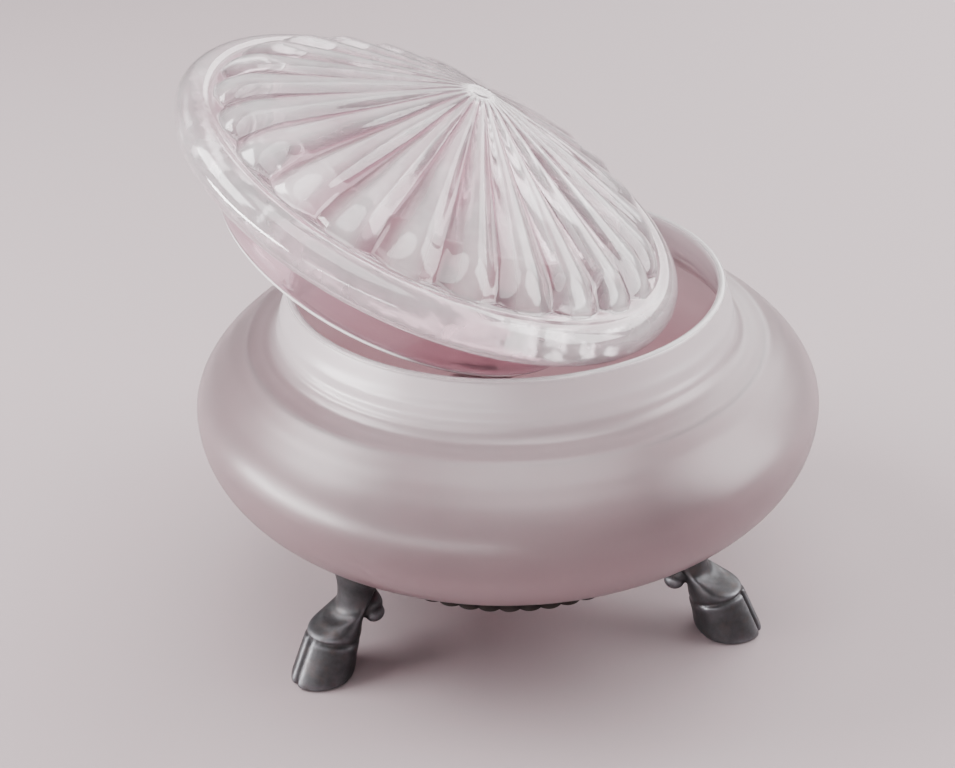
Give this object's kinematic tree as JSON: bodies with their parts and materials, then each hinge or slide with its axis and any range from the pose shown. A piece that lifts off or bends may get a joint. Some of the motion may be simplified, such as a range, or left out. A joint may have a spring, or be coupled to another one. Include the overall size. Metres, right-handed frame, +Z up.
{
  "type": "lidded powder jar",
  "caption": "Squat frosted glass bowl in a cast metal ring on cloven-hoof legs, with a ribbed clear glass lid resting askew in its mouth.",
  "frame": {"origin": "on the ground under the centre of the bowl", "axes": "+Z up, front towards -Y, the lid dips into the mouth on the +X side"},
  "size_m": [0.14, 0.14, 0.132],
  "materials": {
    "frosted_glass": "acid-etched matt, translucent",
    "clear_glass": "fire-polished, clear",
    "cast_metal": "grey white-metal casting with dark patina",
    "rivet_metal": "dull"
  },
  "bodies": {
    "stand": {"stand_ring": "cast_metal", "left_leg": "cast_metal", "right_leg": "cast_metal", "rear_leg": "cast_metal", "left_rivet": "rivet_metal", "right_rivet": "rivet_metal", "rear_rivet": "rivet_metal"},
    "bowl": {"glass_bowl": "frosted_glass"},
    "lid": {"glass_lid": "clear_glass"}
  },
  "joints": [
    {"name": "bowl_lift", "type": "slide", "parent": "stand", "child": "bowl", "axis": [0, 0, 1], "range_m": [0, 0.06]},
    {"name": "lid_lift", "type": "slide", "parent": "bowl", "child": "lid", "axis": [0, 0, 1], "range_m": [0, 0.06]}
  ]
}
